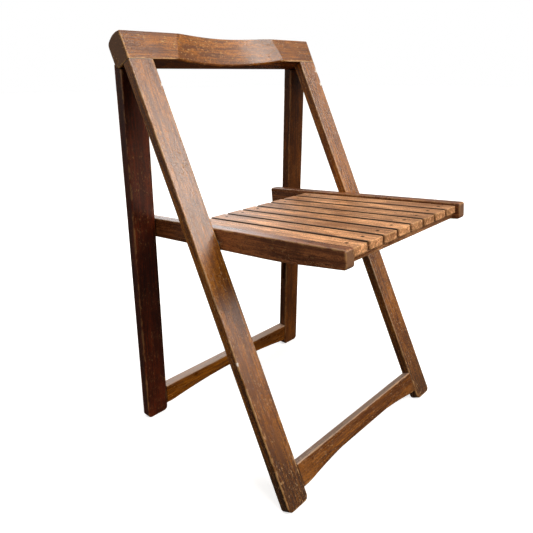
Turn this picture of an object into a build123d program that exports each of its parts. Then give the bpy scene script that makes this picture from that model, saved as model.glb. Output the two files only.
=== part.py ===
"""A folding wooden chair: an A-shaped frame of two leg pairs hinged under a curved crest rail,
with a slatted seat that pivots on the front legs and slides in grooves in the rear legs.

Millimetres, +Z up.  The sitter looks along -Y, so the chair's left side is at +X.  The origin is
on the floor, under the middle of the chair's box.

Three directions are used below.  In the front frame, s runs up the front legs from the underside
of the crest, and n runs rearward from their front face.  In the rear frame, q runs down the rear
legs from the hinge pin, and c runs rearward from it.  In the seat, along runs rearward from the
seat pivot, and up is square to the top of the seat.
"""
from build123d import *
import os
from math import atan2, cos, degrees, radians, sin, sqrt

os.makedirs("parts", exist_ok=True)

# ------------------------------------------------------------------ driving dimensions
width = 460.0                   # over both pairs of legs
leg_width = 46.0                # every leg, seen from the front
leg_thickness = 20.0            # every leg, seen from the side
front_lean = 25.1               # degrees, the front legs' top lies rearward
rear_lean = 3.5                 # degrees, the rear legs' foot lies rearward
front_leg_length = 777.0        # front face, from under the crest to the square cut end
foot_flat = 8.0                 # level flat on a front foot
foot_corner = 8.5               # rounding of a foot's corners, seen from the front
arris = 2.0                     # rounding of the long edges

crest_height = 48.0             # front face
crest_depth = 44.5
crest_crown = 3.5               # rise of the crest's rounded top
crest_crown_at = 20.0           # highest line of that top, behind the front face
crest_top_rear_radius = 9.0
scoop_radius = 400.0            # hollow for the sitter's back
scoop_depth_low = 23.0          # at the crest's underside
scoop_depth_high = 18.0         # at the crest's top
scoop_edge_radius = 4.0         # rounding of the hollow's lower edge

knuckle_radius = 10.5           # rounded rear corner of the crest, about the hinge pin
knuckle_gap = 0.4               # between that corner and the hollow top of a rear leg
rear_leg_ahead = 8.5            # from the hinge pin to the rear leg's front face
rear_lip_drop = 5.0             # from the hinge pin down to the lip behind the knuckle

seat_width = 364.0              # over the two seat rails
seat_rail_thickness = 20.0
seat_rail_height = 36.9
seat_rail_front_height = 29.2   # the underside rises towards the front
seat_rail_ahead = 272.9         # rail ahead of the seat pivot
seat_rail_behind = 206.6        # rail behind the seat pivot
seat_taper_start = 148.0        # ahead of the pivot, where the underside starts to rise
seat_taper_radius = 1100.0
seat_tilt = 3.68                # degrees, lower at the rear
rail_arris = 2.5
rail_end_radius = 4.0           # the other corners of a seat rail, seen from the side
rail_toe_radius = 6.0           # front lower corner of a seat rail

slat_count = 8
slat_gap = 5.8
slat_thickness = 12.0
slat_drop = 3.6                 # slats lie below the top of the rails
slat_ahead = 267.9              # slats ahead of the seat pivot
slat_behind = 91.0              # slats behind the seat pivot
slat_arris = 1.6
slat_corner = 3.0

crossbar_depth = 32.0
crossbar_height = 13.0
front_crossbar_at = -242.5      # centre of a crossbar, along the rails from the seat pivot
rear_crossbar_at = 64.5

stretcher_thickness = 20.0
stretcher_straight = 16.0       # level underside next to each leg, before the arch
stretcher_bend_radius = 120.0   # from that level underside into the arch
front_stretcher_height = 40.3   # at its ends
front_stretcher_rise = 20.7     # from the square cut end of the front leg
front_stretcher_arch = 13.0
rear_stretcher_height = 41.5
rear_stretcher_rise = 15.5      # from the floor, along the rear leg
rear_stretcher_arch = 12.0

hinge_pin_radius = 3.0
hinge_pin_length = 30.0
hinge_pin_inset = 8.0           # from the leg's inner face to the pin's end
plug_gap = 0.3                  # between the pin and the plug that closes its bore
plate_thickness = 4.0
plate_width = 12.0
plate_length = 58.0             # below the hinge pin
plate_eye_radius = 7.0
plate_slot_play = 0.5           # around the plate, in the crest's slot
plate_pin_radius = 2.0
plate_pin_depth = 36.0
plate_pin_drops = (27.0, 48.0)  # below the hinge pin

seat_pin_radius = 4.0
seat_pin_depth = 28.0           # into the front leg
seat_pin_head_radius = 7.0
seat_pin_head = 2.0
seat_pin_head_rounding = 0.8
seat_pin_behind = 11.0          # behind the front leg's front face
seat_pin_below = 324.6          # below the crest, along the leg
seat_pin_height = 9.0           # above the underside of the seat rail
washer_radius = 10.0
washer_thickness = 1.5

guide_pin_radius = 3.9
guide_pin_height = 30.0         # above the underside of the seat rail
guide_pin_length = 9.2          # in the groove
guide_stud_depth = 11.0         # in the seat rail
groove_width = 8.4
groove_depth = 10.0
groove_at = 0.5                 # groove's middle, behind the hinge pin
groove_end_play = 0.4           # beyond the pin at each end of its travel

tenon_thickness = 9.0
crest_tenon_width = 30.0
crest_tenon_length = 25.0
stretcher_tenon_length = 22.0
stretcher_tenon_height = 24.0
dowel_radius = 4.0
dowel_depth = 12.0              # into each of the two pieces it joins
dowel_spacing = 16.0
nail_radius = 1.2
nail_head_radius = 2.4
nail_head = 1.0
nail_length = 21.0
nail_sink = 0.5                 # the head lies below the slat's top

fit = 0.05                      # radial play where a piece turns on a pin
glue_gap = 0.1                  # at the bottom of a mortise or a blind hole
face_gap = 0.3                  # between a moving piece and the piece beside it

# ------------------------------------------------------------------ worked out from those
sides = {"left": 1, "right": -1}
leg_inner = width / 2 - leg_width
leg_middle = width / 2 - leg_width / 2
rail_outer = seat_width / 2
rail_inner = rail_outer - seat_rail_thickness
slat_width = (2 * rail_inner - (slat_count + 1) * slat_gap) / slat_count
slat_pitch = slat_width + slat_gap
slat_centres = [slat_pitch * (index - (slat_count - 1) / 2) for index in range(slat_count)]

lean_sin, lean_cos = sin(radians(front_lean)), cos(radians(front_lean))
rear_sin, rear_cos = sin(radians(rear_lean)), cos(radians(rear_lean))
tilt_sin, tilt_cos = sin(radians(seat_tilt)), cos(radians(seat_tilt))

front_up = Vector(0, lean_sin, lean_cos)
front_back = Vector(0, lean_cos, -lean_sin)
rear_up = Vector(0, -rear_sin, rear_cos)
rear_back = Vector(0, rear_cos, rear_sin)
seat_back = Vector(0, tilt_cos, -tilt_sin)
seat_up = Vector(0, tilt_sin, tilt_cos)

pivot_back = crest_depth - knuckle_radius
pivot_rise = knuckle_radius
foot_drop = foot_flat * lean_sin * lean_cos
shoulder_height = front_leg_length * lean_cos + leg_thickness * lean_sin - foot_drop

# Depth of the box, measured from a shoulder at Y = 0, and the shift that centres it.
flat_shoulder = Vector(0, 0, shoulder_height)
flat_pivot = flat_shoulder + front_back * pivot_back + front_up * pivot_rise
flat_seat_pin = flat_shoulder + front_back * seat_pin_behind - front_up * seat_pin_below
toe_up = rail_toe_radius - seat_rail_front_height + seat_rail_height - seat_pin_height
toe_centre = flat_seat_pin - seat_back * (seat_rail_ahead - rail_toe_radius) + seat_up * toe_up
box_front = toe_centre.Y - rail_toe_radius
rear_face_at = leg_thickness - rear_leg_ahead
box_rear = flat_pivot.Y + (flat_pivot.Z * rear_sin + rear_face_at) / rear_cos
shift = Vector(0, -(box_front + box_rear) / 2, 0)

shoulder = flat_shoulder + shift
pivot = flat_pivot + shift
seat_pin = flat_seat_pin + shift
rear_leg_length = pivot.Z / rear_cos
seat_top = seat_rail_height - seat_pin_height
seat_under = -seat_pin_height

# The guide pin lies on the groove's line when the chair is open, and again when it is folded,
# when the rear legs lie along the front legs.
guide_rise = guide_pin_height - seat_pin_height
pin_to_pivot = seat_pin - pivot
seat_to_groove = groove_at - pin_to_pivot.dot(rear_back) - guide_rise * seat_up.dot(rear_back)
guide_along = seat_to_groove / seat_back.dot(rear_back)
guide_pin = seat_pin + seat_back * guide_along + seat_up * guide_rise
guide_reach = sqrt(guide_along**2 + guide_rise**2)
guide_drop_open = -(guide_pin - pivot).dot(rear_up)
folded_offset = pivot_back + groove_at - seat_pin_behind
guide_drop_folded = pivot_rise + seat_pin_below + sqrt(guide_reach**2 - folded_offset**2)
folded_skew = degrees(atan2(folded_offset, sqrt(guide_reach**2 - folded_offset**2)))
folded_skew -= degrees(atan2(guide_rise, guide_along))
seat_travel = 90 + front_lean - seat_tilt - folded_skew
rear_travel = front_lean + rear_lean
guide_travel = guide_drop_folded - guide_drop_open

slat_top = seat_top - slat_drop
crossbar_middle = slat_top - slat_thickness - crossbar_height / 2
groove_top = guide_drop_open - groove_width / 2 - groove_end_play
groove_bottom = guide_drop_folded + groove_width / 2 + groove_end_play
front_foot_line = shoulder - front_up * front_leg_length
rear_foot_line = pivot - rear_back * rear_leg_ahead - rear_up * rear_leg_length
front_tenon_at = front_stretcher_rise + front_stretcher_height / 2 - front_leg_length
rear_tenon_at = rear_stretcher_rise + rear_stretcher_height / 2 - rear_leg_length
plug_length = leg_width - hinge_pin_inset - glue_gap - hinge_pin_length - plug_gap - face_gap


def front_side(x):
    """Plane square to X, with its own axes n and s."""
    return Plane(origin=(x, shoulder.Y, shoulder.Z), x_dir=front_back, z_dir=(1, 0, 0))


def rear_side(x):
    """Plane square to X, with its own axes c and -q."""
    return Plane(origin=(x, pivot.Y, pivot.Z), x_dir=rear_back, z_dir=(1, 0, 0))


def seat_side(x):
    """Plane square to X, with its own axes along and up, about the seat pivot."""
    return Plane(origin=(x, seat_pin.Y, seat_pin.Z), x_dir=seat_back, z_dir=(1, 0, 0))


def seat_plan(rise):
    """Plane parallel to the seat's top, with its own axes X and along, about the seat pivot."""
    return Plane(origin=seat_pin + seat_up * rise, x_dir=(1, 0, 0), z_dir=seat_up)


def front_face(behind):
    """Plane parallel to the front legs' face, facing rearward, with its own axes -X and s."""
    return Plane(origin=shoulder + front_back * behind, x_dir=(-1, 0, 0), z_dir=front_back)


def side_bar(plane_at_x, low, high, side):
    """The side plane midway between two distances from the chair's middle, and half their span."""
    return plane_at_x(side * (low + high) / 2), (high - low) / 2


def save(piece, name):
    piece.part.label = name
    export_step(piece.part, f"parts/{name}.step")


def peg(plane, at, radius, length):
    """A round pin of the given length, square to the plane at one of its points."""
    with BuildPart() as pin:
        with BuildSketch(plane):
            with Locations(at):
                Circle(radius)
        extrude(amount=length)
    return pin


# ------------------------------------------------------------------ front frame
def make_crest_rail():
    """The bar behind the sitter's back, with the hinge knuckle along its lower rear corner."""
    crown_bulge = (crest_crown_at, crest_height + crest_crown)
    crown_rear = (crest_depth, crest_height - crest_crown)
    scoop_lean = atan2(scoop_depth_low - scoop_depth_high, crest_height)
    scoop_axis = front_up * cos(scoop_lean) - front_back * sin(scoop_lean)
    scoop_foot = shoulder + front_back * (scoop_depth_low - scoop_radius / cos(scoop_lean))
    slot_radius = plate_eye_radius + plate_slot_play
    with BuildPart() as crest:
        with BuildSketch(front_side(0)):
            with BuildLine():
                Line((0, 0), (0, crest_height))
                ThreePointArc((0, crest_height), crown_bulge, crown_rear)
                Line(crown_rear, (crest_depth, pivot_rise))
                CenterArc((pivot_back, pivot_rise), knuckle_radius, 0, -90)
                Line((pivot_back, 0), (0, 0))
            make_face()
            fillet(vertices().sort_by(Axis.Y)[-1], arris)
            fillet(vertices().group_by(Axis.X)[-1].sort_by(Axis.Y)[-1], crest_top_rear_radius)
        extrude(amount=width / 2, both=True)
        with BuildSketch(Plane(origin=scoop_foot, x_dir=(1, 0, 0), z_dir=scoop_axis)):
            Circle(scoop_radius)
        extrude(amount=2 * crest_height, both=True, mode=Mode.SUBTRACT)
        underside = crest.faces().sort_by(Axis(shoulder, front_up))[0]
        fillet(underside.edges().filter_by(GeomType.LINE, reverse=True), scoop_edge_radius)
        fillet(crest.faces().filter_by(Axis.X).edges(), arris)
        for side in sides.values():
            with BuildSketch(front_face(0).offset(leg_thickness / 2)):
                with Locations((-side * leg_middle, crest_tenon_length / 2)):
                    Rectangle(crest_tenon_width, crest_tenon_length + 2 * glue_gap)
            extrude(amount=tenon_thickness / 2, both=True, mode=Mode.SUBTRACT)
            with BuildSketch(front_side(side * leg_middle)):
                with Locations((pivot_back, pivot_rise)):
                    Circle(slot_radius)
                    with Locations((0, -plate_eye_radius)):
                        Rectangle(2 * slot_radius, 2 * plate_eye_radius)
                    with Locations((plate_eye_radius, 0)):
                        Rectangle(2 * plate_eye_radius, 2 * slot_radius)
            extrude(amount=plate_thickness / 2 + plate_slot_play, both=True, mode=Mode.SUBTRACT)
            with BuildSketch(front_side(side * width / 2)):
                with Locations((pivot_back, pivot_rise)):
                    Circle(hinge_pin_radius)
            extrude(amount=-side * (leg_width - hinge_pin_inset), mode=Mode.SUBTRACT)
    return crest


def make_front_leg(side):
    """A straight leg, tenoned into the crest, with a blind hole for the seat's pin."""
    middle = -side * leg_middle
    with BuildPart() as leg:
        with BuildSketch(front_face(0)):
            with Locations((middle, -front_leg_length / 2)):
                Rectangle(leg_width, front_leg_length)
            fillet(vertices().group_by(Axis.Y)[0], foot_corner)
        extrude(amount=leg_thickness)
        faces_round = leg.faces().filter_by(Axis(shoulder, front_back))
        top_edges = leg.faces().sort_by(Axis.Z)[-1].edges()
        fillet([edge for edge in faces_round.edges() if edge not in top_edges], arris)
        split(bisect_by=Plane.XY, keep=Keep.TOP)
        with BuildSketch(front_face(leg_thickness / 2)):
            with Locations((middle, crest_tenon_length / 2)):
                Rectangle(crest_tenon_width - 2 * fit, crest_tenon_length)
        extrude(amount=tenon_thickness / 2 - fit, both=True)
        with BuildSketch(front_side(side * leg_inner)):
            with Locations((seat_pin_behind, -seat_pin_below)):
                Circle(seat_pin_radius)
        extrude(amount=side * (seat_pin_depth + glue_gap), mode=Mode.SUBTRACT)
        with BuildSketch(front_side(side * leg_inner)):
            with Locations((stretcher_thickness / 2, front_tenon_at)):
                Rectangle(tenon_thickness, stretcher_tenon_height)
        extrude(amount=side * (stretcher_tenon_length + glue_gap), mode=Mode.SUBTRACT)
    return leg


def make_stretcher(plane, bottom, height, arch):
    """A cross rail between two legs, arched underneath, with a tenon at each end."""
    springing = leg_inner - stretcher_straight
    top = bottom + height
    with BuildPart() as stretcher:
        with BuildSketch(plane):
            with BuildLine():
                Polyline((-springing, bottom), (-leg_inner, bottom), (-leg_inner, top),
                         (leg_inner, top), (leg_inner, bottom), (springing, bottom))
                ThreePointArc((springing, bottom), (0, bottom + arch), (-springing, bottom))
            make_face()
            ends_of_arch = vertices().filter_by(lambda v: abs(abs(v.X) - springing) < arris)
            fillet(ends_of_arch, stretcher_bend_radius)
        extrude(amount=stretcher_thickness)
        ends = stretcher.faces().filter_by(Axis.X).edges()
        fillet([edge for edge in stretcher.edges() if edge not in ends], arris)
        with BuildSketch(plane.offset(stretcher_thickness / 2)):
            with Locations((0, bottom + height / 2)):
                Rectangle(2 * (leg_inner + stretcher_tenon_length), stretcher_tenon_height - 2 * fit)
        extrude(amount=tenon_thickness / 2 - fit, both=True)
    return stretcher


# ------------------------------------------------------------------ rear frame
def make_rear_leg(side):
    """A straight leg, hollowed at its top for the knuckle, grooved inside for the seat's pin."""
    hollow = knuckle_radius + knuckle_gap
    lip_ahead = sqrt(hollow**2 - rear_lip_drop**2)
    hollow_turn = degrees(atan2(lip_ahead, rear_lip_drop))
    below_floor = -rear_leg_length - leg_thickness
    plane, half = side_bar(rear_side, leg_inner, width / 2, side)
    with BuildPart() as leg:
        with BuildSketch(plane):
            with BuildLine():
                Polyline((lip_ahead, -rear_lip_drop), (rear_face_at, -rear_lip_drop),
                         (rear_face_at, below_floor), (-rear_leg_ahead, below_floor),
                         (-rear_leg_ahead, -hollow), (0, -hollow))
                CenterArc((0, 0), hollow, -90, hollow_turn)
            make_face()
        extrude(amount=half, both=True)
        split(bisect_by=Plane.XY, keep=Keep.TOP)
        sole = leg.faces().sort_by(Axis.Z)[0]
        fillet(sole.edges().filter_by(Axis.Y), foot_corner)
        front = leg.faces().filter_by(Axis(pivot, rear_back)).sort_by(Axis.Y)
        chain = front[0].edges() + front[-1].edges()
        fillet(chain.filter_by(lambda edge: edge.center().Z < pivot.Z - hollow), arris)
        with BuildSketch(rear_side(side * leg_inner)):
            with Locations((groove_at, -(groove_top + groove_bottom) / 2)):
                SlotOverall(groove_bottom - groove_top, groove_width, rotation=90)
        extrude(amount=side * groove_depth, mode=Mode.SUBTRACT)
        with BuildSketch(rear_side(side * leg_middle)):
            with Locations((0, -plate_length / 2)):
                Rectangle(plate_width + 2 * fit, plate_length + 2 * glue_gap)
        extrude(amount=plate_thickness / 2 + fit, both=True, mode=Mode.SUBTRACT)
        with BuildSketch(rear_side(side * leg_inner)):
            with Locations(*[(0, -drop) for drop in plate_pin_drops]):
                Circle(plate_pin_radius)
        extrude(amount=side * (plate_pin_depth + glue_gap), mode=Mode.SUBTRACT)
        with BuildSketch(rear_side(side * leg_inner)):
            with Locations((stretcher_thickness / 2 - rear_leg_ahead, rear_tenon_at)):
                Rectangle(tenon_thickness, stretcher_tenon_height)
        extrude(amount=side * (stretcher_tenon_length + glue_gap), mode=Mode.SUBTRACT)
    return leg


def make_hinge_plate(side):
    """A steel tongue let into the top of a rear leg, with an eye for the hinge pin."""
    with BuildPart() as plate:
        with BuildSketch(rear_side(side * leg_middle)):
            Circle(plate_eye_radius)
            with Locations((0, -plate_length / 2)):
                Rectangle(plate_width, plate_length)
            Circle(hinge_pin_radius + fit, mode=Mode.SUBTRACT)
            with Locations(*[(0, -drop) for drop in plate_pin_drops]):
                Circle(plate_pin_radius, mode=Mode.SUBTRACT)
        extrude(amount=plate_thickness / 2, both=True)
    return plate


def make_hinge_plate_pins():
    """Four short pins that hold the hinge plates in the rear legs."""
    with BuildPart() as pins:
        for side in sides.values():
            with BuildSketch(rear_side(side * (leg_inner + glue_gap))):
                with Locations(*[(0, -drop) for drop in plate_pin_drops]):
                    Circle(plate_pin_radius)
            extrude(amount=side * plate_pin_depth - side * glue_gap)
    return pins


# ------------------------------------------------------------------ seat
def make_seat_rail(side):
    """A side rail, tapering underneath towards the front, with its pin holes."""
    plane, half = side_bar(seat_side, rail_inner, rail_outer, side)
    toe = seat_top - seat_rail_front_height
    with BuildPart() as rail:
        with BuildSketch(plane):
            Polygon((-seat_rail_ahead, seat_top), (seat_rail_behind, seat_top),
                    (seat_rail_behind, seat_under), (-seat_taper_start, seat_under),
                    (-seat_rail_ahead, toe), align=None)
            bend = vertices().sort_by_distance((-seat_taper_start, seat_under))[0]
            fillet(bend, seat_taper_radius)
            fillet(vertices().sort_by_distance((-seat_rail_ahead, toe))[0], rail_toe_radius)
            rest = vertices().filter_by(lambda v: v.X > seat_rail_behind - 1 or v.Y > seat_top - 1)
            fillet(rest, rail_end_radius)
        extrude(amount=half, both=True)
        fillet(rail.faces().filter_by(Axis.X).edges(), rail_arris)
        with BuildSketch(seat_side(side * rail_inner)):
            Circle(seat_pin_radius + fit)
        extrude(amount=side * seat_rail_thickness, mode=Mode.SUBTRACT)
        with BuildSketch(seat_side(side * rail_outer)):
            with Locations((guide_along, guide_rise)):
                Circle(guide_pin_radius)
        extrude(amount=-side * (guide_stud_depth + glue_gap), mode=Mode.SUBTRACT)
        with BuildSketch(seat_side(side * rail_inner)):
            with Locations(*crossbar_dowel_places(front_crossbar_at)):
                Circle(dowel_radius)
            with Locations(*crossbar_dowel_places(rear_crossbar_at)):
                Circle(dowel_radius)
        extrude(amount=side * (dowel_depth + glue_gap), mode=Mode.SUBTRACT)
    return rail


def make_slat(centre):
    """One seat slat, with a sunk nail hole over each crossbar."""
    length = slat_ahead + slat_behind
    middle = (slat_behind - slat_ahead) / 2
    with BuildPart() as slat:
        with BuildSketch(seat_plan(slat_top - slat_thickness)):
            with Locations((centre, middle)):
                Rectangle(slat_width, length)
            fillet(vertices(), slat_corner)
        extrude(amount=slat_thickness)
        fillet(slat.faces().sort_by(Axis(seat_pin, seat_up))[-1].edges(), slat_arris)
        with Locations(*nail_places(centre, slat_top)):
            CounterBoreHole(nail_radius, nail_head_radius, nail_head + nail_sink, slat_thickness)
    return slat


def nail_places(centre, rise):
    """Where the two nails of a slat start, square to the seat's top."""
    return [seat_plan(rise) * Location((centre, at, 0)) for at in (front_crossbar_at, rear_crossbar_at)]


def crossbar_dowel_places(at):
    """The two dowels at each end of a crossbar, in a seat side plane."""
    return [(at + offset, crossbar_middle) for offset in (-dowel_spacing / 2, dowel_spacing / 2)]


def make_crossbar(at):
    """A flat bar under the slats, dowelled between the seat rails."""
    with BuildPart() as bar:
        with BuildSketch(seat_side(0)):
            with Locations((at, crossbar_middle)):
                Rectangle(crossbar_depth, crossbar_height)
            fillet(vertices().group_by(Axis.Y)[0], arris)
        extrude(amount=rail_inner - glue_gap, both=True)
        for side in sides.values():
            with BuildSketch(seat_side(side * rail_inner)):
                with Locations(*crossbar_dowel_places(at)):
                    Circle(dowel_radius)
            extrude(amount=-side * (dowel_depth + glue_gap), mode=Mode.SUBTRACT)
        with BuildSketch(seat_plan(slat_top - slat_thickness)):
            with Locations(*[(centre, at) for centre in slat_centres]):
                Circle(nail_radius)
        extrude(amount=-(nail_length + nail_head + nail_sink - slat_thickness), mode=Mode.SUBTRACT)
    return bar


def make_crossbar_dowels(at):
    """The four dowels of one crossbar."""
    with BuildPart() as dowels:
        for side in sides.values():
            with BuildSketch(seat_side(side * rail_inner)):
                with Locations(*crossbar_dowel_places(at)):
                    Circle(dowel_radius)
            extrude(amount=dowel_depth, both=True)
    return dowels


def make_slat_nails(at):
    """The nails that hold every slat to one crossbar."""
    head_top = slat_top - nail_sink
    with BuildPart() as nails:
        with BuildSketch(seat_plan(head_top)):
            with Locations(*[(centre, at) for centre in slat_centres]):
                Circle(nail_head_radius - fit)
        extrude(amount=-nail_head)
        with BuildSketch(seat_plan(head_top - nail_head)):
            with Locations(*[(centre, at) for centre in slat_centres]):
                Circle(nail_radius)
        extrude(amount=-(nail_length - nail_head))
    return nails


def make_seat_pin(side):
    """A headed pin from inside a seat rail into the front leg."""
    head_at = rail_inner - face_gap
    with BuildPart() as pin:
        with BuildSketch(seat_side(side * head_at)):
            Circle(seat_pin_head_radius)
        extrude(amount=-side * seat_pin_head)
        fillet(pin.faces().sort_by(Axis.X)[0 if side > 0 else -1].edges(),
               seat_pin_head_rounding)
        with BuildSketch(seat_side(side * head_at)):
            Circle(seat_pin_radius)
        extrude(amount=side * (leg_inner + seat_pin_depth - head_at))
    return pin


def make_washer(side):
    """The washer that keeps a seat rail off the front leg."""
    with BuildPart() as washer:
        with BuildSketch(seat_side(side * leg_inner)):
            Circle(washer_radius)
            Circle(seat_pin_radius + fit, mode=Mode.SUBTRACT)
        extrude(amount=-side * washer_thickness)
    return washer


# ------------------------------------------------------------------ the whole chair
crest_rail = make_crest_rail()
save(crest_rail, "crest_rail")
front_plane = Plane(origin=front_foot_line, x_dir=(-1, 0, 0), z_dir=front_back)
save(make_stretcher(front_plane, front_stretcher_rise, front_stretcher_height,
                    front_stretcher_arch), "front_stretcher")
rear_plane = Plane(origin=rear_foot_line, x_dir=(-1, 0, 0), z_dir=rear_back)
save(make_stretcher(rear_plane, rear_stretcher_rise, rear_stretcher_height,
                    rear_stretcher_arch), "rear_stretcher")

for label, side in sides.items():
    save(make_front_leg(side), f"front_leg_{label}")
    save(make_rear_leg(side), f"rear_leg_{label}")
    save(make_hinge_plate(side), f"hinge_plate_{label}")
    save(make_seat_rail(side), f"seat_rail_{label}")
    save(make_seat_pin(side), f"seat_pivot_pin_{label}")
    save(make_washer(side), f"seat_washer_{label}")
    knuckle = (pivot_back, pivot_rise)
    pin_start = front_side(side * (width / 2 - leg_width + hinge_pin_inset + glue_gap))
    save(peg(pin_start, knuckle, hinge_pin_radius, side * hinge_pin_length), f"hinge_pin_{label}")
    plug_start = front_side(side * (width / 2 - face_gap))
    save(peg(plug_start, knuckle, hinge_pin_radius, -side * plug_length), f"pin_plug_{label}")
    guide_at = (guide_along, guide_rise)
    stud = peg(seat_side(side * rail_outer), guide_at, guide_pin_radius, -side * guide_stud_depth)
    save(stud, f"guide_stud_{label}")
    groove_start = seat_side(side * (rail_outer + face_gap))
    groove_pin = peg(groove_start, guide_at, guide_pin_radius, side * guide_pin_length)
    save(groove_pin, f"groove_pin_{label}")

save(make_hinge_plate_pins(), "hinge_plate_pins")

for end, at in {"front": front_crossbar_at, "rear": rear_crossbar_at}.items():
    save(make_crossbar(at), f"{end}_crossbar")
    save(make_crossbar_dowels(at), f"{end}_crossbar_dowels")
    save(make_slat_nails(at), f"{end}_slat_nails")

for number, centre in enumerate(slat_centres, start=1):
    save(make_slat(centre), f"seat_slat_{number}")

print(f"seat pivot {seat_pin}, hinge {pivot}, guide pin {guide_pin}")
print(f"seat turns {seat_travel:.3f}, rear legs {rear_travel:.3f}, guide slides {guide_travel:.3f}")
print(f"groove runs along {-rear_up}, shoulder {shoulder}")
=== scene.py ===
"""The folding chair's looks: worn, walnut-stained beech under a thin varnish, built around the
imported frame.  Every length is in metres.  The camera, the floor and the lights come first, then
the materials, and last the table of which piece gets which."""
import random
from math import cos, radians, sin

import bpy
from mathutils import Matrix, Vector

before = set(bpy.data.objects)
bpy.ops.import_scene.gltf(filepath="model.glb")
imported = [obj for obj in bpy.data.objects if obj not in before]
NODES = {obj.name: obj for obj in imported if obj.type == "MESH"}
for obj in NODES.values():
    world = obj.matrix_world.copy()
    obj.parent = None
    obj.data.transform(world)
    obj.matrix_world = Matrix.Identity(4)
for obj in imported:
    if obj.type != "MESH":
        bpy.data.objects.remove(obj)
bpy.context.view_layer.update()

# Directions of the three tilted groups of pieces, as in the design.
FRONT_LEAN = radians(25.1)
REAR_LEAN = radians(3.5)
SEAT_TILT = radians(3.68)
UP = Vector((0, 0, 1))
ACROSS = Vector((1, 0, 0))
FRONT_UP = Vector((0, sin(FRONT_LEAN), cos(FRONT_LEAN)))
FRONT_BACK = Vector((0, cos(FRONT_LEAN), -sin(FRONT_LEAN)))
REAR_UP = Vector((0, -sin(REAR_LEAN), cos(REAR_LEAN)))
REAR_BACK = Vector((0, cos(REAR_LEAN), sin(REAR_LEAN)))
SEAT_BACK = Vector((0, cos(SEAT_TILT), -sin(SEAT_TILT)))
SEAT_UP = Vector((0, sin(SEAT_TILT), cos(SEAT_TILT)))

# Where the front legs' faces meet the crest, and the legs' inner faces.
SHOULDER = Vector((0, 0.154975, 0.709038))
LEG_INNER = 0.184
# The seat's pivot, the slats' tops above it, and the nails along the seat from it.
SEAT_PIN = Vector((0, 0.027242, 0.410424))
SLAT_TOP = 0.0243
SLAT_PITCH = 0.039775
MIDDLE_SLAT = 4.5
NAIL_ROWS = (-0.2425, 0.0645)

# The camera: its place, where it looks, and what its frame takes in.
CAMERA_PLACE = (-0.7129, -0.6353, 0.6764)
YAW, PITCH, ROLL = radians(49.047), radians(-17.574), radians(-0.716)
LENS_MM, SENSOR_MM = 35.215, 36.0
SHIFT_X, SHIFT_Y = -0.0751, -0.0452

# The light: a window at the front right with a slanting sill, walls that fade into a dark floor,
# the ceiling, and three soft lamps.
LIGHT_COLOUR = (1.0, 0.945, 0.87, 1)
WINDOW_HEADING = Vector((0.47, -0.88, 0.0)).normalized()
WINDOW_SILL = Vector((-0.88, -0.47, 0.0)).normalized()
SILL_SLANT = 0.25
WINDOW_STRENGTH = 10.5
WALL_STRENGTH = 0.18
FLOOR_STRENGTH = 0.04
OVERHEAD_STRENGTH = 0.42
AREA_LIGHTS = (
    # name, place, target, width and height, watts, colour
    ("key", (-0.15, -1.6, 3.0), (0, 0, 0.45), 1.6, 47, (1.0, 0.98, 0.95)),
    ("side", (-2.5, -0.5, 1.1), (0, 0, 0.4), 1.4, 8, (1.0, 0.96, 0.90)),
    ("fill", (0.9, 2.2, 1.6), (0, 0, 0.4), 1.8, 22, (0.98, 0.99, 1.0)),
)


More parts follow.
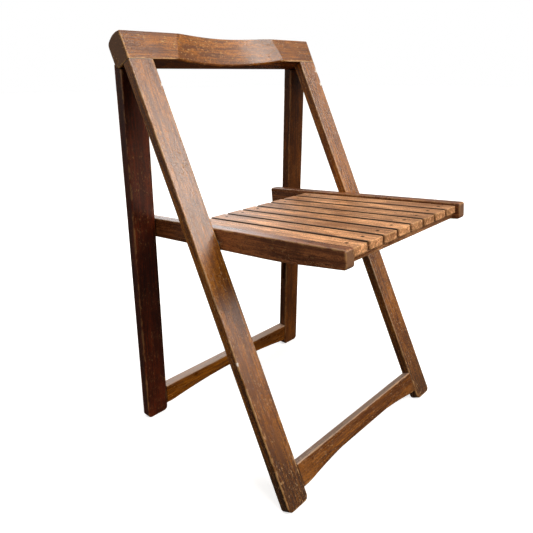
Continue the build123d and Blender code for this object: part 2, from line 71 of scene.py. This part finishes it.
# ------------------------------------------------------------------ shader node helpers
class Nodes:
    """Short names for the shader nodes that the materials are made of."""

    def __init__(self, tree):
        self.tree = tree

    def add(self, kind):
        return self.tree.nodes.new("ShaderNode" + kind)

    def link(self, source, target):
        self.tree.links.new(source, target)

    def put(self, value, socket):
        if hasattr(value, "is_linked"):
            self.link(value, socket)
        else:
            socket.default_value = value

    def math(self, operation, *values):
        node = self.add("Math")
        node.operation = operation
        for value, socket in zip(values, node.inputs):
            self.put(value, socket)
        return node.outputs[0]

    def vector(self, operation, *values):
        node = self.add("VectorMath")
        node.operation = operation
        for value, socket in zip(values, node.inputs):
            self.put(value, socket)
        gives_number = operation in ("DOT_PRODUCT", "LENGTH", "DISTANCE")
        return node.outputs["Value" if gives_number else "Vector"]

    def dot(self, value, direction):
        return self.vector("DOT_PRODUCT", value, direction)

    def scaled(self, value, scale):
        return self.vector("MULTIPLY", value, scale)

    def ramp(self, value, start, end):
        """Maps value smoothly from one (value, result) pair to another, and holds beyond them."""
        node = self.add("MapRange")
        node.interpolation_type = "SMOOTHSTEP"
        self.put(value, node.inputs["Value"])
        node.inputs["From Min"].default_value = start[0]
        node.inputs["From Max"].default_value = end[0]
        node.inputs["To Min"].default_value = start[1]
        node.inputs["To Max"].default_value = end[1]
        return node.outputs["Result"]

    def noise(self, place, scale=1.0, detail=2.0, rough=0.5):
        node = self.add("TexNoise")
        self.put(place, node.inputs["Vector"])
        node.inputs["Scale"].default_value = scale
        node.inputs["Detail"].default_value = detail
        node.inputs["Roughness"].default_value = rough
        return node.outputs["Fac"]

    def line_noise(self, value, scale, detail=2.0):
        node = self.add("TexNoise")
        node.noise_dimensions = "1D"
        self.put(value, node.inputs["W"])
        node.inputs["Scale"].default_value = scale
        node.inputs["Detail"].default_value = detail
        return node.outputs["Fac"]

    def mix(self, factor, first, second):
        """Blends two colours; a colour Mix node keeps its colours in sockets 6 and 7."""
        node = self.add("Mix")
        node.data_type = "RGBA"
        self.put(factor, node.inputs[0])
        self.put(first, node.inputs[6])
        self.put(second, node.inputs[7])
        return node.outputs[2]

    def dimmed(self, colour, factor):
        """A colour multiplied by a number, either of which may come from a socket."""
        node = self.add("VectorMath")
        node.operation = "SCALE"
        self.put(colour, node.inputs[0])
        self.put(factor, node.inputs["Scale"])
        return node.outputs[0]

    def bump(self, relief, strength, distance):
        """A normal tilted by a relief."""
        node = self.add("Bump")
        node.inputs["Strength"].default_value = strength
        node.inputs["Distance"].default_value = distance
        self.link(relief, node.inputs["Height"])
        return node.outputs[0]


def new_material(name):
    material = bpy.data.materials.new(name)
    material.use_nodes = True
    shader = material.node_tree.nodes["Principled BSDF"]
    return material, Nodes(material.node_tree), shader


def rgb(red, green, blue):
    return (red, green, blue, 1)


# ------------------------------------------------------------------ camera, floor and light
def make_camera():
    """The photograph's view: close, from the chair's front right, a little above the seat."""
    forward = Vector((sin(YAW) * cos(PITCH), cos(YAW) * cos(PITCH), sin(PITCH)))
    level = Vector((cos(YAW), -sin(YAW), 0))
    upright = level.cross(forward)
    right = cos(ROLL) * level + sin(ROLL) * upright
    up = cos(ROLL) * upright - sin(ROLL) * level
    turn = Matrix((right, up, -forward)).transposed().to_4x4()
    data = bpy.data.cameras.new("camera")
    data.lens = LENS_MM
    data.sensor_width = SENSOR_MM
    data.shift_x = SHIFT_X
    data.shift_y = SHIFT_Y
    data.clip_start = 0.02
    camera = bpy.data.objects.new("camera", data)
    camera.matrix_world = Matrix.Translation(CAMERA_PLACE) @ turn
    bpy.context.scene.collection.objects.link(camera)
    bpy.context.scene.camera = camera


def make_floor():
    """A pale floor that takes the chair's shadow but gives it no light of its own."""
    mesh = bpy.data.meshes.new("floor")
    reach = 30.0
    corners = [(-reach, -reach, 0), (reach, -reach, 0), (reach, reach, 0), (-reach, reach, 0)]
    mesh.from_pydata(corners, [], [(0, 1, 2, 3)])
    floor = bpy.data.objects.new("floor", mesh)
    bpy.context.scene.collection.objects.link(floor)
    material, _, shader = new_material("floor_pale")
    shader.inputs["Base Color"].default_value = rgb(0.8, 0.8, 0.8)
    shader.inputs["Emission Color"].default_value = rgb(1, 1, 1)
    shader.inputs["Emission Strength"].default_value = 0.6
    shader.inputs["Roughness"].default_value = 0.9
    shader.inputs["Specular IOR Level"].default_value = 0.1
    mesh.materials.append(material)
    floor.visible_diffuse = False
    floor.visible_glossy = False


def make_world():
    """Plain white behind the chair; the window, the walls and the ceiling for its light."""
    world = bpy.data.worlds.new("studio")
    bpy.context.scene.world = world
    world.use_nodes = True
    tree = world.node_tree
    tree.nodes.clear()
    n = Nodes(tree)
    direction = n.add("TexCoord").outputs["Generated"]
    height = n.dot(direction, UP)
    level = n.vector("NORMALIZE", n.scaled(direction, Vector((1, 1, 0))))
    heading = n.dot(level, WINDOW_HEADING)
    above_sill = n.math("MULTIPLY_ADD", n.dot(level, WINDOW_SILL), SILL_SLANT, height)
    # The bounds are cosines of the heading off the window's middle and sines of the elevation.
    window = n.math("MULTIPLY", n.ramp(heading, (0.92, 0.0), (0.965, 1.0)),
                    n.math("MULTIPLY", n.ramp(above_sill, (0.29, 0.0), (0.395, 1.0)),
                           n.ramp(height, (0.54, 1.0), (0.69, 0.0))))
    overhead = n.ramp(height, (0.15, 0.0), (0.95, 1.0))
    walls = n.ramp(height, (-0.35, FLOOR_STRENGTH), (0.10, WALL_STRENGTH))
    strength = n.math("MULTIPLY_ADD", window, WINDOW_STRENGTH, walls)
    strength = n.math("MULTIPLY_ADD", overhead, OVERHEAD_STRENGTH, strength)
    lamp = n.add("Background")
    lamp.inputs["Color"].default_value = LIGHT_COLOUR
    n.link(strength, lamp.inputs["Strength"])
    plain = n.add("Background")
    plain.inputs["Color"].default_value = rgb(1, 1, 1)
    plain.inputs["Strength"].default_value = 1.0
    chooser = n.add("MixShader")
    n.link(n.add("LightPath").outputs["Is Camera Ray"], chooser.inputs[0])
    n.link(lamp.outputs[0], chooser.inputs[1])
    n.link(plain.outputs[0], chooser.inputs[2])
    out = n.add("OutputWorld")
    n.link(chooser.outputs[0], out.inputs["Surface"])


def make_area_light(name, place, target, size, power, colour):
    data = bpy.data.lights.new(name, "AREA")
    data.shape = "RECTANGLE"
    data.size = data.size_y = size
    data.energy = power
    data.color = colour
    lamp = bpy.data.objects.new(name, data)
    aim = Vector(target) - Vector(place)
    lamp.rotation_euler = aim.to_track_quat("-Z", "Y").to_euler()
    lamp.location = place
    bpy.context.scene.collection.objects.link(lamp)


# ------------------------------------------------------------------ wood
# Mean colour of each group of pieces.
STAINS = {
    "frame": (0.228, 0.070, 0.004),
    "stretcher": (0.270, 0.080, 0.003),
    "rear_right": (0.066, 0.0085, 0.0006),
    "rear_left": (0.100, 0.027, 0.002),
    "slat": (0.520, 0.246, 0.108),
    "rail": (0.210, 0.066, 0.019),
    "crossbar": (0.400, 0.175, 0.070),
}
BARE = rgb(0.52, 0.28, 0.10)
CHIPPED = rgb(0.80, 0.72, 0.64)
DUST = rgb(0.42, 0.30, 0.23)
# Near black: painted shade for the gaps between the slats.
PAINTED_GAP_SHADE = rgb(0.010, 0.005, 0.003)
RUST = rgb(0.02, 0.008, 0.004)
CREST_END = rgb(0.16, 0.075, 0.035)
RAIL_END = rgb(0.23, 0.12, 0.065)


def shade(stain, red, green, blue):
    """A stain's mean colour with each channel scaled."""
    colour = STAINS[stain]
    return rgb(colour[0] * red, colour[1] * green, colour[2] * blue)


def piece_extent(node, direction):
    """Lowest and highest reach of a CAD node along a direction."""
    reaches = [vertex.co.dot(direction) for vertex in NODES[node].data.vertices]
    return min(reaches), max(reaches)


class Grain:
    """A piece's own coordinates along, over and through its grain, and the noises on them."""

    def __init__(self, n, node, axes, chance):
        self.n = n
        self.place = n.add("TexCoord").outputs["Object"]
        extents = [piece_extent(node, axis) for axis in axes]
        self.halves = [(high - low) / 2 for low, high in extents]
        offsets = [n.math("SUBTRACT", n.dot(self.place, axis), (high + low) / 2)
                   for axis, (low, high) in zip(axes, extents)]
        self.along, self.over, _ = offsets
        self.gaps = [n.math("SUBTRACT", half, n.math("ABSOLUTE", offset))
                     for half, offset in zip(self.halves, offsets)]
        joined = n.add("CombineXYZ")
        for offset, socket in zip(offsets, joined.inputs):
            n.link(offset, socket)
        self.centred = joined.outputs[0]
        self.shifted = n.vector("ADD", self.centred,
                                Vector([chance.uniform(-9, 9) for _ in range(3)]))
        self.rings = self.growth_rings(chance)
        self.fibres = self.stretched(30, 430, detail=4, rough=0.65)
        self.flecks = self.stretched(170, 900, detail=2, rough=0.6)
        self.blotch = self.stretched(10, 30, detail=4, rough=0.6)
        self.streaks = self.stretched(6, 110, detail=3, rough=0.6)
        self.nick = self.stretched(150, 300, detail=3, rough=0.75)
        self.mottle = n.noise(self.shifted, scale=420, detail=4, rough=0.7)

    def stretched(self, lengthwise, crosswise, detail, rough=0.5):
        """Noise drawn out along the grain: its scale along it and across it."""
        scale = Vector((lengthwise, crosswise, crosswise))
        return self.n.noise(self.n.scaled(self.shifted, scale), detail=detail, rough=rough)

    def growth_rings(self, chance):
        """Rings round a pith that lies outside the piece, cut by its faces."""
        n = self.n
        warp = self.stretched(3.5, 16, detail=2)
        pith = Vector((0, chance.choice((-1, 1)) * chance.uniform(0.03, 0.07),
                       chance.choice((-1, 1)) * chance.uniform(0.02, 0.06)))
        flat = n.scaled(n.vector("SUBTRACT", self.centred, pith), Vector((0.03, 1, 1)))
        radius = n.math("MULTIPLY_ADD", warp, 0.024, n.vector("LENGTH", flat))
        return n.line_noise(radius, 300, 2)

    def edge_distance(self):
        """Distance to the nearest edge: the middle one of the distances to the faces."""
        n = self.n
        ends, sides, faces = self.gaps
        least = n.math("MINIMUM", ends, n.math("MINIMUM", sides, faces))
        most = n.math("MAXIMUM", ends, n.math("MAXIMUM", sides, faces))
        total = n.math("ADD", ends, n.math("ADD", sides, faces))
        return n.math("SUBTRACT", total, n.math("ADD", least, most))

    def tone(self, stain):
        """The stain, darker and paler with the rings, the fibres and the unevenness of it all."""
        n = self.n
        figure = n.math("MULTIPLY_ADD", self.rings, 0.18, n.math("MULTIPLY", self.fibres, 0.40))
        figure = n.math("MULTIPLY_ADD", self.mottle, 0.42, figure)
        figure = n.math("MULTIPLY_ADD", n.math("SUBTRACT", self.blotch, 0.5), 0.32, figure)
        tone = n.mix(n.ramp(figure, (0.42, 0.0), (0.495, 1.0)),
                     shade(stain, 0.36, 0.29, 0.22), shade(stain, 1, 1, 1))
        tone = n.mix(n.ramp(figure, (0.50, 0.0), (0.58, 1.0)), tone,
                     shade(stain, 1.9, 2.05, 2.2))
        tone = n.mix(n.ramp(self.flecks, (0.56, 0.0), (0.68, 0.7)), tone,
                     shade(stain, 0.38, 0.30, 0.24))
        return n.mix(n.ramp(self.streaks, (0.40, 0.75), (0.53, 0.0)), tone,
                     shade(stain, 0.50, 0.42, 0.36))

    def scratches(self, angle, chance):
        """Short straight lines at an angle to the grain, in scattered patches."""
        n = self.n
        along = Vector((cos(angle), sin(angle), 0.6 * sin(angle)))
        across = Vector((-sin(angle), cos(angle), 0.6 * cos(angle)))
        turned = n.add("CombineXYZ")
        n.link(n.math("MULTIPLY", n.dot(self.shifted, along), 38), turned.inputs[0])
        n.link(n.math("MULTIPLY", n.dot(self.shifted, across), 900), turned.inputs[1])
        turned.inputs[2].default_value = chance.uniform(-9, 9)
        line = n.ramp(n.noise(turned.outputs[0], detail=1), (0.70, 0.0), (0.76, 1.0))
        patch = n.ramp(n.noise(self.shifted, scale=17, detail=1), (0.50, 0.0), (0.60, 1.0))
        return n.math("MULTIPLY", line, patch)

    def marks(self, wear, chance):
        """Small nicks in patches, and two families of scratches."""
        n = self.n
        patch = n.noise(self.shifted, scale=24, detail=2)
        nicks = n.math("MULTIPLY", n.ramp(self.nick, (0.59, 0.0), (0.64, 0.85 * wear)),
                       n.ramp(patch, (0.42, 0.0), (0.56, 1.0)))
        lines = n.math("MAXIMUM", self.scratches(0.9, chance), self.scratches(-0.25, chance))
        return n.math("MAXIMUM", nicks, n.math("MULTIPLY", 0.55 * wear, lines))

    def relief(self, marks):
        """Height of the surface: open grain between the fibres, and the marks cut into it."""
        n = self.n
        relief = n.math("MULTIPLY_ADD", self.mottle, 0.9, n.math("MULTIPLY", self.fibres, 0.5))
        relief = n.math("MULTIPLY_ADD", self.flecks, -0.4, relief)
        return n.math("MULTIPLY_ADD", marks, -0.5, relief)

    def rubbed_matt(self, start, end):
        """Roughness added between two reaches along the grain."""
        n = self.n
        soft = 0.02
        along = n.math("MULTIPLY_ADD", n.math("SUBTRACT", self.blotch, 0.5), 0.08, self.along)
        return n.math("MULTIPLY", n.ramp(along, (start - soft, 0.0), (start + soft, 0.30)),
                      n.ramp(along, (end - soft, 1.0), (end + soft, 0.0)))

    # Each of these lays one thing over a tone and returns the new tone.
    def end_grain(self, tone, colour):
        n = self.n
        depth = n.math("MULTIPLY_ADD", self.mottle, 0.0010, self.gaps[0])
        return n.mix(n.ramp(depth, (0.0007, 0.85), (0.0012, 0.0)), tone, colour)

    # Painted shade: the tone grows darker towards the floor, down to `left` of itself.
    def shaded_near_floor(self, tone, left):
        n = self.n
        height = n.math("MULTIPLY_ADD", self.blotch, 0.06, n.dot(self.place, UP))
        return n.dimmed(tone, n.ramp(height, (0.05, left), (0.20, 1.0)))

    def chip(self, tone, centre, radius):
        n = self.n
        reach = n.vector("DISTANCE", self.place, centre)
        reach = n.math("MULTIPLY_ADD", n.math("SUBTRACT", self.nick, 0.5), 3 * radius, reach)
        return n.mix(n.ramp(reach, (0.8 * radius, 0.95), (radius, 0.0)), tone, CHIPPED)

    def dust(self, tone):
        n = self.n
        depth = n.math("SUBTRACT", self.halves[1], self.over)
        return n.mix(n.ramp(depth, (0.0004, 0.6), (0.0022, 0.0)), tone, DUST)

    # Painted shade: near black along the long sides, where the gaps between slats lie in shade,
    # fading near the ends.
    def painted_gap_shade(self, tone):
        n = self.n
        depth = n.math("MULTIPLY_ADD", self.mottle, -0.0012, self.gaps[1])
        side = n.math("MULTIPLY", n.ramp(depth, (0.0004, 0.93), (0.0014, 0.0)),
                      n.ramp(self.gaps[0], (0.002, 0.0), (0.006, 1.0)))
        return n.mix(side, tone, PAINTED_GAP_SHADE)

    def rust_ring(self, tone, nail):
        n = self.n
        off = n.math("MULTIPLY_ADD", self.mottle, -0.003, n.vector("DISTANCE", self.place, nail))
        return n.mix(n.ramp(off, (0.0012, 0.9), (0.0026, 0.0)), tone, RUST)

    def seam(self, tone, stain, direction, reach):
        n = self.n
        off = n.math("ABSOLUTE", n.math("SUBTRACT", n.dot(self.place, direction), reach))
        off = n.math("MULTIPLY_ADD", self.mottle, -0.0012, off)
        return n.mix(n.ramp(off, (0.0003, 0.9), (0.0012, 0.0)), tone,
                     shade(stain, 0.12, 0.09, 0.08))


def wood(node, axes, stain, wear=1.0, gloss=0.28, coat=0.5, foot=1.0, vary=0.0, ends=None,
         dusty=False, shaded_gaps=False, seams=(), chips=(), nails=(), dull=None):
    """Stained beech, worn at the piece's own edges.

    axes   the piece's directions: along its fibres, across them, and through it
    wear   how far its edges are rubbed bare and its faces marked
    gloss  the wood's roughness, and `coat` the weight of the varnish over it
    foot   how much of the tone is left near the floor, where shade is painted in
    vary   how far the tone may lie from the mean
    ends   the colour of its end grain
    dusty  greys its upper face, and the flag after it paints near-black shade along its long
    sides seams  (direction, reach) planes with dirt along them
    chips  (place, radius) spots of lost varnish
    nails  places with a dark ring of rust
    dull   the reaches along the grain between which the varnish is rubbed matt"""
    chance = random.Random(node)
    material, n, shader = new_material("wood_" + node)
    grain = Grain(n, node, axes, chance)
    tone = n.dimmed(grain.tone(stain), 1 + chance.uniform(-vary, vary))
    if ends:
        tone = grain.end_grain(tone, ends)
    # Painted shade, darker towards the floor.
    if foot < 1:
        tone = grain.shaded_near_floor(tone, foot)

    edge = grain.edge_distance()
    frayed = grain.stretched(60, 170, detail=5, rough=0.7)
    ragged = n.math("MULTIPLY_ADD", n.math("SUBTRACT", frayed, 0.46), -0.016, edge)
    worn = n.ramp(ragged, (0.0004, 0.75 * wear), (0.0014, 0.0))
    rubbed = n.ramp(edge, (0.0, 0.25 * wear), (0.005, 0.0))
    tone = n.mix(rubbed, tone, shade(stain, 1.5, 1.8, 2.1))
    tone = n.mix(worn, tone, BARE)
    marks = grain.marks(wear, chance)
    tone = n.mix(marks, tone, BARE)

    for centre, radius in chips:
        tone = grain.chip(tone, centre, radius)
    if dusty:
        tone = grain.dust(tone)
    # Painted shade along the long sides, for the dark gaps between slats.
    if shaded_gaps:
        tone = grain.painted_gap_shade(tone)
    for nail in nails:
        tone = grain.rust_ring(tone, nail)
    for direction, reach in seams:
        tone = grain.seam(tone, stain, direction, reach)
    n.link(tone, shader.inputs["Base Color"])

    rough = n.math("MULTIPLY_ADD", grain.blotch, 0.20, gloss - 0.10)
    rough = n.math("MULTIPLY_ADD", n.math("MAXIMUM", worn, marks), 0.25, rough)
    if dull:
        rough = n.math("ADD", rough, grain.rubbed_matt(*dull))
    n.link(rough, shader.inputs["Roughness"])
    shader.inputs["IOR"].default_value = 1.5
    shader.inputs["Coat Weight"].default_value = coat
    shader.inputs["Coat Roughness"].default_value = 0.24
    normal = n.bump(grain.relief(marks), strength=0.55, distance=0.0007)
    n.link(normal, shader.inputs["Normal"])
    n.link(normal, shader.inputs["Coat Normal"])
    return material


# ------------------------------------------------------------------ steel
def steel(name, colour, roughness, stained):
    """Dull steel with a fine noise in its surface and darker, rougher stains."""
    material, n, shader = new_material(name)
    place = n.add("TexCoord").outputs["Object"]
    blotch = n.noise(place, scale=260, detail=4, rough=0.6)
    stains = n.ramp(blotch, (0.42, 0.0), (0.62, stained))
    n.link(n.mix(stains, colour, rgb(0.05, 0.025, 0.015)), shader.inputs["Base Color"])
    n.link(n.math("MULTIPLY_ADD", stains, 0.3, roughness), shader.inputs["Roughness"])
    shader.inputs["Metallic"].default_value = 1.0
    fine = n.noise(place, scale=900, detail=2)
    n.link(n.bump(fine, strength=0.2, distance=0.0003), shader.inputs["Normal"])
    return material


# ------------------------------------------------------------------ which piece gets which
def on_front_leg(across, below):
    """A point on the front legs' front face, by its X and its distance below the crest."""
    return SHOULDER + ACROSS * across - FRONT_UP * below


# Larger chips in the varnish of the front legs: place and radius.
LEG_CHIPS = {
    "front_leg_left": ((on_front_leg(0.229, 0.022), 0.0055),
                       (on_front_leg(0.229, 0.053), 0.0050)),
    "front_leg_right": ((on_front_leg(-0.184, 0.045), 0.0030),
                        (on_front_leg(-0.230, 0.520), 0.0035)),
}


def nail_spots(node):
    """Where a slat's two nails go in."""
    across = SLAT_PITCH * (int(node.rsplit("_")[-1]) - MIDDLE_SLAT)
    return [SEAT_PIN + ACROSS * across + SEAT_BACK * row + SEAT_UP * SLAT_TOP
            for row in NAIL_ROWS]


def dress(node, material):
    mesh = NODES[node].data
    mesh.materials.clear()
    mesh.materials.append(material)


def dress_all():
    pin_steel = steel("steel_pins", rgb(0.42, 0.41, 0.40), 0.38, 0.5)
    nail_steel = steel("steel_nails", rgb(0.06, 0.05, 0.045), 0.5, 0.6)
    across_front = (ACROSS, FRONT_UP, FRONT_BACK)
    across_rear = (ACROSS, REAR_UP, REAR_BACK)
    across_seat = (ACROSS, SEAT_BACK, SEAT_UP)
    under_crest = (FRONT_UP, SHOULDER.dot(FRONT_UP))
    leg_faces = ((ACROSS, LEG_INNER), (ACROSS, -LEG_INNER))
    for node in NODES:
        if node == "crest_rail":
            material = wood(node, across_front, "frame", wear=1.1, gloss=0.24, coat=0.2,
                            ends=CREST_END, dull=(-0.18, 0.045))
        elif node.startswith("front_leg"):
            material = wood(node, (FRONT_UP, ACROSS, FRONT_BACK), "frame", wear=0.75,
                            gloss=0.25, coat=0.85, foot=0.34, seams=(under_crest,),
                            chips=LEG_CHIPS[node])
        elif node.startswith("rear_leg"):
            stain = "rear_left" if node.endswith("left") else "rear_right"
            material = wood(node, (REAR_UP, ACROSS, REAR_BACK), stain, wear=0.35, gloss=0.34,
                            coat=0.1)
        elif node == "front_stretcher":
            material = wood(node, across_front, "stretcher", wear=0.6, coat=0.0, foot=0.5,
                            dusty=True, seams=leg_faces)
        elif node == "rear_stretcher":
            material = wood(node, across_rear, "stretcher", wear=0.3, coat=0.0, foot=0.7,
                            dusty=True, seams=leg_faces)
        elif node.startswith("seat_rail"):
            material = wood(node, (SEAT_BACK, SEAT_UP, ACROSS), "rail", wear=0.6, ends=RAIL_END)
        elif node.startswith("seat_slat"):
            material = wood(node, (SEAT_BACK, ACROSS, SEAT_UP), "slat", wear=0.45, gloss=0.36,
                            coat=0.0, vary=0.13, shaded_gaps=True, nails=nail_spots(node))
        elif node.endswith("crossbar"):
            material = wood(node, across_seat, "crossbar", wear=0.4)
        elif node.startswith("pin_plug") or node.endswith("dowels"):
            material = wood(node, across_seat, "frame", wear=0.2)
        elif node.endswith("nails") or node == "hinge_plate_pins":
            material = nail_steel
        else:
            material = pin_steel
        dress(node, material)


bpy.context.scene.view_settings.view_transform = "Standard"
make_camera()
make_world()
make_floor()
for light in AREA_LIGHTS:
    make_area_light(*light)
dress_all()
